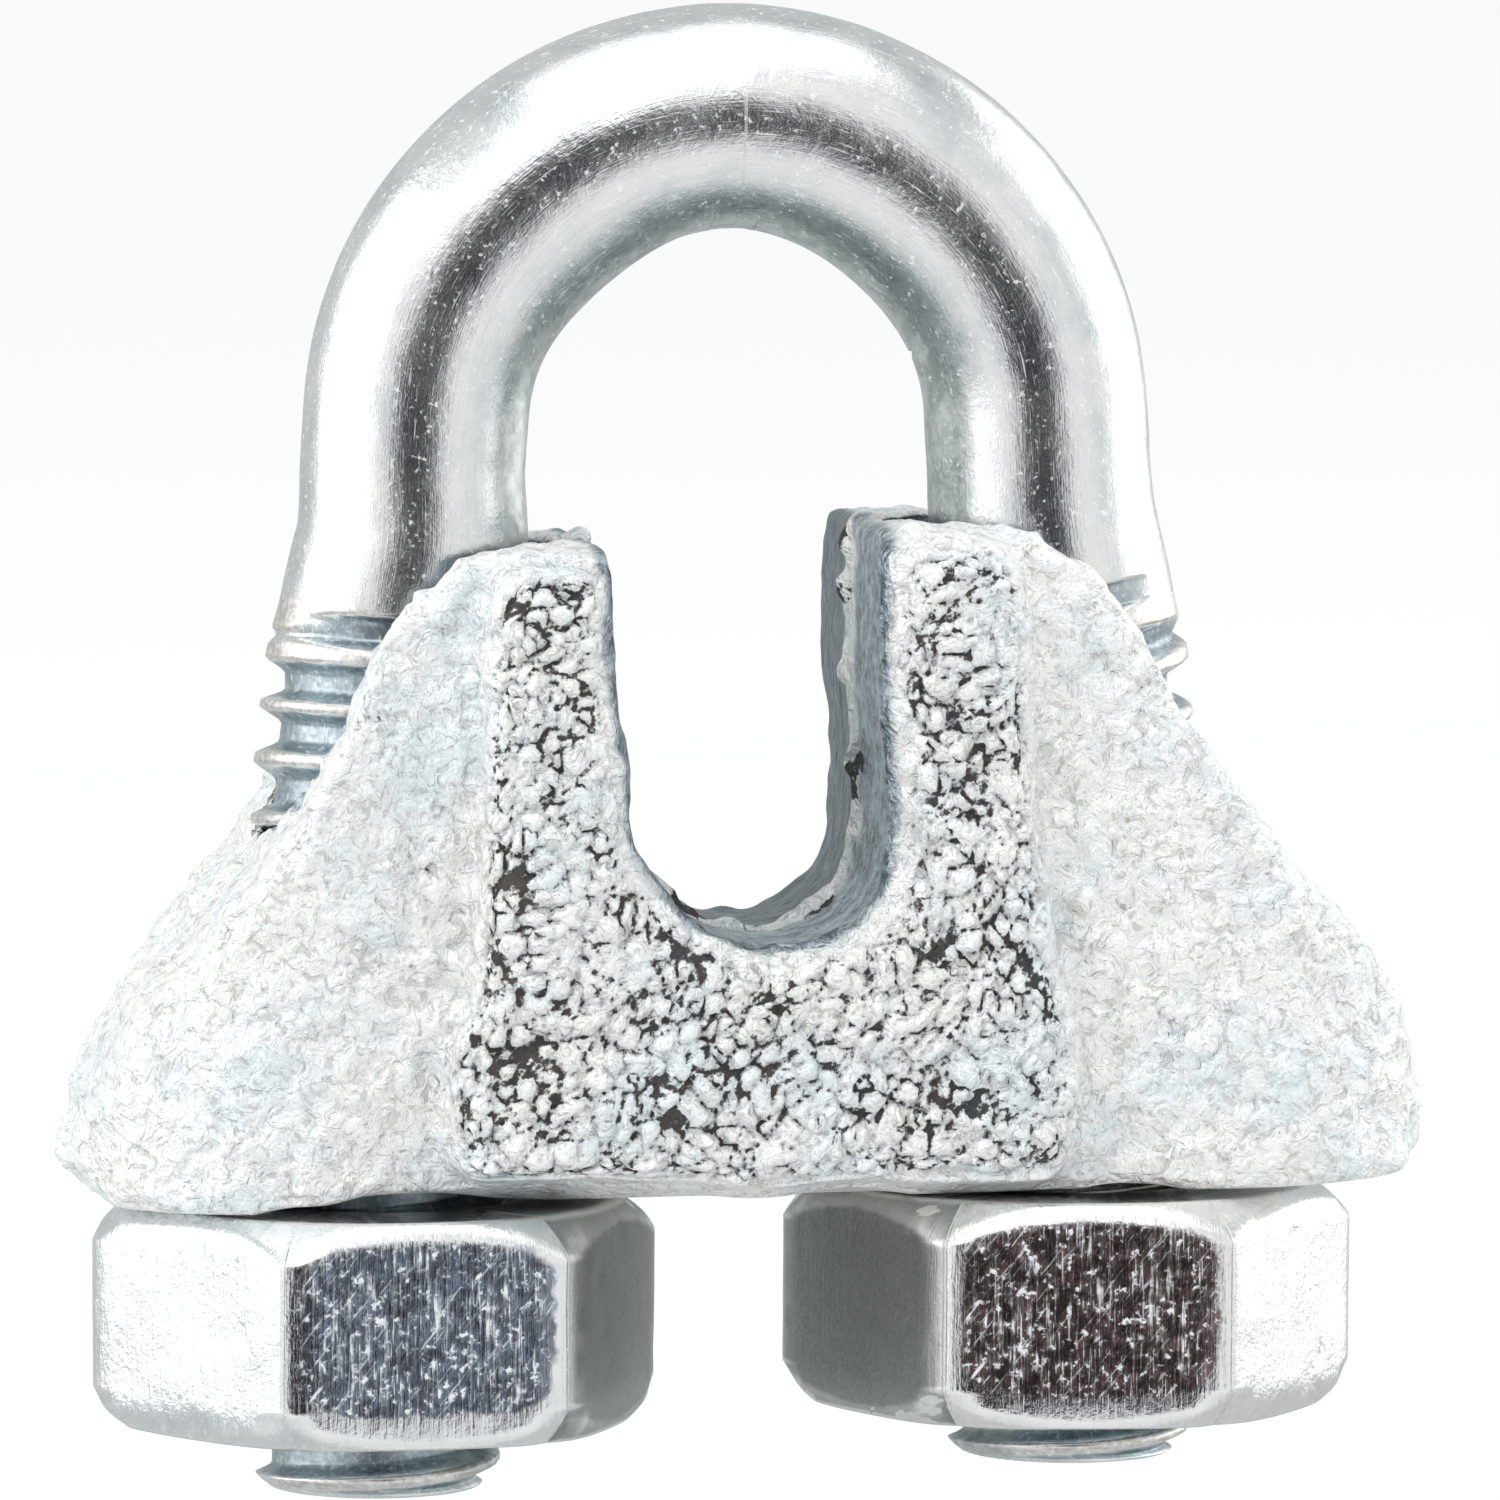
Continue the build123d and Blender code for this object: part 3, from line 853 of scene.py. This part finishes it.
def nut_material(name, tint, painted_shade_tint, shift, painted_shade_flat):
    """Drawn and plated nut; shift moves the noise, painted_shade_flat is the flat painted a
    grey-green reflection and shade.
    """
    m = Metal(name)
    place = m.mapping(m.place, Location=(shift, shift * 0.7, 0))
    surf = m.attr("surf", "Vector")
    along, height, flat = m.axes(surf)
    lines = m.noise(m.mapping(surf, Scale=(6.0, 0.50, 3.1)), detail=4, rough=0.62)
    thin_lines = m.noise(m.mapping(surf, Scale=(16.0, 0.9, 7.7)))
    turned = m.mapping(surf, Rotation=(0, 0, math.radians(38)))
    cross = m.noise(m.mapping(turned, Scale=(13.0, 0.8, 5.3)))
    cloud = m.noise(place, scale=0.5, detail=4)
    blot = m.noise(place, scale=2.6, distort=0.3)
    speck = m.noise(place, scale=5.2, rough=0.62)
    grain = m.noise(place, scale=12.0)
    base = m.ramp(cloud, (0.32, shade(tint, 0.84)), (0.55, shade(tint, 0.91)),
                  (0.72, shade(tint, 0.95)))
    base = m.coat(base, shade(tint, 0.62), m.band(lines, low=0.50, high=0.66), amount=0.35)
    # painted reflection and shade: one wrench flat beside the front is coloured a dull grey-green
    on_painted_shade_flat = m.calc("COMPARE", flat, float(painted_shade_flat), 0.3)
    grey = m.ramp(grain, (0.35, (0.25, 0.265, 0.255)), (0.65, (0.36, 0.375, 0.36)))
    base = m.coat(base, grey, on_painted_shade_flat, amount=0.92)
    # flat 4, which faces the camera, carries a painted dark reflection inside a ragged,
    # rounded rectangle: half sizes 3.25 along and 2.15 up, centred 2.95 up the flat
    across = m.calc("ABSOLUTE", m.sub(along, m.mul(flat, FLAT_STEP)))
    upright = m.calc("ABSOLUTE", m.sub(height, 2.95))
    rag = m.linear(m.noise(place, scale=1.7, detail=4, rough=0.65), gain=0.9, offset=0.55)
    outline = m.add(m.calc("POWER", m.calc("DIVIDE", across, 3.25), 5.0),
                    m.calc("POWER", m.calc("DIVIDE", upright, 2.15), 5.0))
    on_painted_reflection = m.mul(m.calc("COMPARE", flat, 4.0, 0.3), m.above(rag, start=outline, gain=5.0))
    painted_dark_reflection = m.ramp(m.add(m.mul(blot, 0.6), m.mul(lines, 0.4)),
                   (0.40, shade(painted_shade_tint, 0.28, lift=0.02)), (0.60, shade(painted_shade_tint, 0.95, lift=0.04)))
    base = m.coat(base, painted_dark_reflection, on_painted_reflection, amount=0.96)
    # painted highlight on the sharp edges, painted shade in the bore
    pointed = m.node("ShaderNodeNewGeometry").outputs["Pointiness"]
    base = m.coat(base, (0.96, 0.96, 0.94), m.band(pointed, low=0.503, high=0.520), amount=0.8)
    base = m.coat(base, (0.35, 0.38, 0.40), m.attr("inside"), amount=0.6)
    # scratches and flakes: dull, light marks that show most on the dark flat
    scratch = m.max(m.max(thin_lines, m.mul(lines, 1.0)), m.mul(cross, 0.97))
    scratch = m.mul(m.above(scratch, start=0.560, gain=9.0),
                    m.band(blot, low=0.40, high=0.58, at_low=0.25))
    flakes = m.mul(m.above(speck, start=0.550, gain=10.0), m.band(blot, low=0.40, high=0.54))
    marks = m.mul(m.max(scratch, flakes), m.sub(1.0, on_painted_shade_flat), clamp=True)
    marks = m.mul(marks, m.linear(on_painted_reflection, gain=0.75, offset=0.25))
    # more of the painted dark reflection's colour, laid in blots over flat 4
    veil = m.mul(m.mul(m.band(blot, low=0.42, high=0.62, at_low=0.35), 0.26), on_painted_reflection)
    base = m.coat(base, painted_shade_tint, veil, amount=2.2)
    base = m.mix(marks, base, (0.82, 0.84, 0.86))
    return m.finish(
        base, metallic=m.sub(1.0, m.max(m.mul(marks, 0.75), veil)),
        rough=m.linear(cloud, gain=0.12, offset=0.09), rougher=[(marks, 0.30), (on_painted_shade_flat, 0.28)],
        bumps=[(lines, 0.5, 0.00004), (thin_lines, 0.45, 0.00002), (speck, 0.5, 0.00003),
               (grain, 0.5, 0.000010)])


# ------------------------------------------------------------------ product
u_bolt = build_u_bolt()
nut_left = build_nut("nut_left_body", -1, turn=5.6, seed=201, lift=LEFT_LIFT)
nut_right = build_nut("nut_right_body", 1, turn=-4.0, seed=301, lift=RIGHT_LIFT)
saddle = build_saddle(0.115)

u_bolt.data.materials.append(rod_material())
saddle.data.materials.append(casting_material())
# each nut: a colour for the painted dark reflection on its front flat, and the flat painted a
# grey-green reflection and shade
nut_left.data.materials.append(nut_material(
    "zinc_nut_left", tint=(0.97, 0.99, 1.0), painted_shade_tint=(0.19, 0.225, 0.30), shift=0.0, painted_shade_flat=5))
nut_right.data.materials.append(nut_material(
    "zinc_nut_right", tint=(1.0, 0.97, 0.965), painted_shade_tint=(0.235, 0.150, 0.150), shift=31.0,
    painted_shade_flat=3))

for piece, cad_name, slot_name in (
        (u_bolt, "u_bolt", "u_bolt_steel"), (saddle, "saddle", "saddle_casting"),
        (nut_left, "nut_left", "nut_steel"), (nut_right, "nut_right", "nut_steel")):
    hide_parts(cad_name)
    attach(piece, cad_name)

# ------------------------------------------------------------------ stage
scene = bpy.context.scene
scene.view_settings.view_transform = "Standard"
scene.view_settings.look = "None"


def build_floor():
    """White floor, just low enough for the nuts to clear at the bottom of their travel."""
    half = 3.0
    z = (NUT_BOTTOM + LEFT_LIFT - NUT_TRAVEL - SEAT_Z) * MM - 0.00005
    mesh = bpy.data.meshes.new("floor")
    mesh.from_pydata([(-half, -half, z), (half, -half, z), (half, half, z), (-half, half, z)],
                     [], [(0, 1, 2, 3)])
    floor = bpy.data.objects.new("floor", mesh)
    scene.collection.objects.link(floor)
    material = bpy.data.materials.new("floor_white")
    g = Graph(material)
    diffuse = g.node("ShaderNodeBsdfDiffuse", {"Color": (0.85, 0.86, 0.86)})
    glow = g.node("ShaderNodeEmission", {"Color": (1, 1, 1), "Strength": 1.0})
    # the camera sees mostly the glow, other rays only the diffuse white
    glow_share = g.mul(g.node("ShaderNodeLightPath").outputs["Is Camera Ray"], 0.80)
    mixed = g.node("ShaderNodeMixShader", {0: glow_share, 1: diffuse.outputs[0],
                                           2: glow.outputs[0]})
    g.node("ShaderNodeOutputMaterial", {0: mixed.outputs[0]})
    mesh.materials.append(material)
    floor.visible_glossy = False


# Camera: angles in degrees, distance in metres, lens and sensor in millimetres
CAMERA_TURN, CAMERA_DROP, CAMERA_ROLL = 8.0, 4.6, 0.35
CAMERA_DISTANCE = 0.300
CAMERA_TARGET = Vector((0, 0, (11.0 - SEAT_Z) * MM))
SENSOR, LENS = 36, 288.72
LENS_SHIFT_X, LENS_SHIFT_Y = 0.01666667, -0.00533333     # in sensor widths

turn, drop, roll = (math.radians(a) for a in (CAMERA_TURN, CAMERA_DROP, CAMERA_ROLL))
forward = Vector((math.sin(turn) * math.cos(drop), math.cos(turn) * math.cos(drop),
                  -math.sin(drop)))
right = Vector((math.cos(turn), -math.sin(turn), 0))
up = right.cross(forward)


def build_camera():
    data = bpy.data.cameras.new("camera")
    camera = bpy.data.objects.new("camera", data)
    scene.collection.objects.link(camera)
    rolled_right = right * math.cos(roll) + up * math.sin(roll)
    rolled_up = -right * math.sin(roll) + up * math.cos(roll)
    rotation = Matrix((rolled_right, rolled_up, -forward)).transposed()
    place = CAMERA_TARGET - forward * CAMERA_DISTANCE
    camera.matrix_world = Matrix.Translation(place) @ rotation.to_4x4()
    data.sensor_width = SENSOR
    data.sensor_fit = "HORIZONTAL"
    data.lens = LENS
    data.shift_x = LENS_SHIFT_X
    data.shift_y = LENS_SHIFT_Y
    data.clip_start = 0.01
    data.clip_end = 50
    scene.camera = camera


def build_world():
    """White studio with a dark patch round the camera, a little to its right."""
    world = bpy.data.worlds.new("studio")
    scene.world = world
    g = Graph(world)
    direction = g.node("ShaderNodeTexCoord").outputs["Generated"]
    to_right, to_top, to_camera = (
        g.node("ShaderNodeVectorMath", {0: direction, 1: tuple(axis)},
               operation="DOT_PRODUCT").outputs["Value"]
        for axis in (right, up, -forward))
    # ellipse centred at (0.045, -0.09) with half sizes 0.375 and 0.385
    ex = g.calc("DIVIDE", g.sub(to_right, 0.045), 0.375)
    ey = g.calc("DIVIDE", g.add(to_top, 0.09), 0.385)
    distance = g.calc("SQRT", g.add(g.mul(ex, ex), g.mul(ey, ey)))
    # the half behind the product is pushed to the ramp's far end
    distance = g.add(distance, g.mul(g.calc("LESS_THAN", to_camera, 0.0), 4.0))
    # a quarter of the ellipse distance, colour
    surround = g.ramp(
        g.mul(distance, 0.25),
        (0.0, (0.018, 0.015, 0.020)), (0.235, (0.026, 0.022, 0.028)),
        (0.255, (0.20, 0.19, 0.21)), (0.280, (0.76, 0.78, 0.81)), (0.42, (0.90, 0.91, 0.91)),
        (0.60, (0.74, 0.77, 0.78)), (1.0, (0.56, 0.59, 0.59)))
    rays = g.node("ShaderNodeLightPath").outputs
    # the camera sees white; diffuse rays get 0.30 more light
    background = g.node("ShaderNodeBackground", {
        "Color": g.mix(rays["Is Camera Ray"], surround, (1, 1, 1)),
        "Strength": g.add(g.mul(rays["Is Diffuse Ray"], 0.30), 1.0)})
    g.node("ShaderNodeOutputWorld", {0: background.outputs[0]})


def softbox(name, place, size, power):
    """Rectangular light aimed at the origin."""
    data = bpy.data.lights.new(name, "AREA")
    data.shape = "RECTANGLE"
    data.size, data.size_y = size
    data.energy = power
    light = bpy.data.objects.new(name, data)
    scene.collection.objects.link(light)
    light.location = place
    light.rotation_euler = (-Vector(place)).to_track_quat("-Z", "Y").to_euler()


build_floor()
build_camera()
build_world()
softbox("key_left", place=(-0.42, -0.02, 0.12), size=(0.50, 0.42), power=1.0)
softbox("key_right", place=(0.40, 0.12, 0.12), size=(0.52, 0.42), power=0.85)
softbox("top", place=(0.0, -0.05, 0.46), size=(0.5, 0.4), power=0.55)
softbox("front_top", place=(-0.12, -0.34, 0.34), size=(0.34, 0.30), power=0.36)

bpy.context.view_layer.update()
